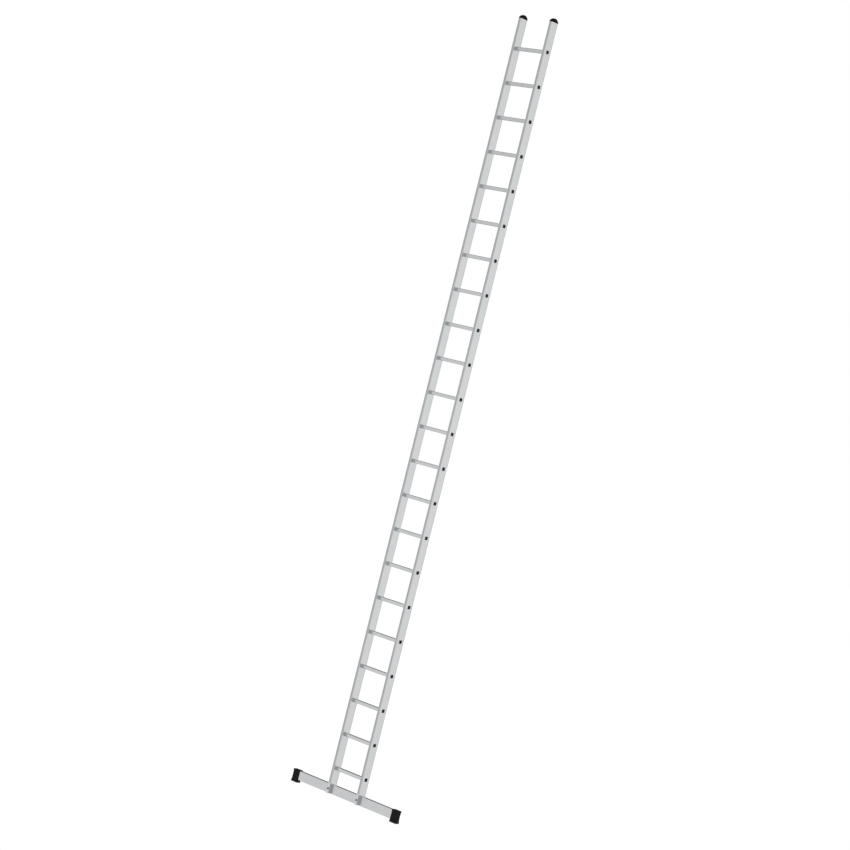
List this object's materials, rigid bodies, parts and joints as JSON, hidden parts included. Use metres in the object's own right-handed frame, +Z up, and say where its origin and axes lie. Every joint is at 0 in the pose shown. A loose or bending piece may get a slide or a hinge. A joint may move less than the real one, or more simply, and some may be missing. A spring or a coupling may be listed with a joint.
{
  "type": "single section leaning ladder",
  "caption": "Tall single-section aluminium leaning ladder: two box stiles, square ribbed rungs, a stabiliser crossbar on rubber feet and black end caps.",
  "frame": {"origin": "bottom centre of the bounding box: the middle of the footprint, on the floor under the crossbar", "axes": "+Z up the stiles, +X along the rungs and the crossbar, -Y the side that is climbed"},
  "size_m": [1.2, 0.0938, 6.38],
  "materials": {
    "stile_aluminium": "extruded, satin",
    "rung_aluminium": "extruded, ribbed, satin",
    "crossbar_aluminium": "extruded, satin",
    "spacer_aluminium": "sawn tube",
    "rivet_aluminium": "bright",
    "zinc_steel": "zinc plated",
    "cap_plastic": "moulded black",
    "plug_plastic": "moulded black",
    "foot_rubber": "moulded black rubber"
  },
  "bodies": {
    "root": {"stile_left": "stile_aluminium", "stile_right": "stile_aluminium", "stile_cap_left": "cap_plastic", "stile_cap_right": "cap_plastic", "rung_01": "rung_aluminium", "rung_02": "rung_aluminium", "rung_03": "rung_aluminium", "rung_04": "rung_aluminium", "rung_05": "rung_aluminium", "rung_06": "rung_aluminium", "rung_07": "rung_aluminium", "rung_08": "rung_aluminium", "rung_09": "rung_aluminium", "rung_10": "rung_aluminium", "rung_11": "rung_aluminium", "rung_12": "rung_aluminium", "rung_13": "rung_aluminium", "rung_14": "rung_aluminium", "rung_15": "rung_aluminium", "rung_16": "rung_aluminium", "rung_17": "rung_aluminium", "rung_18": "rung_aluminium", "rung_19": "rung_aluminium", "rung_20": "rung_aluminium", "rung_21": "rung_aluminium", "rung_22": "rung_aluminium", "rung_plugs_left": "plug_plastic", "rung_plugs_right": "plug_plastic", "crossbar": "crossbar_aluminium", "foot_left": "foot_rubber", "foot_right": "foot_rubber", "foot_rivets": "rivet_aluminium", "crossbar_bolts": "zinc_steel", "crossbar_washers": "zinc_steel", "crossbar_nuts": "zinc_steel", "prong_spacers": "spacer_aluminium", "crossbar_spacers": "spacer_aluminium"}
  },
  "joints": []
}
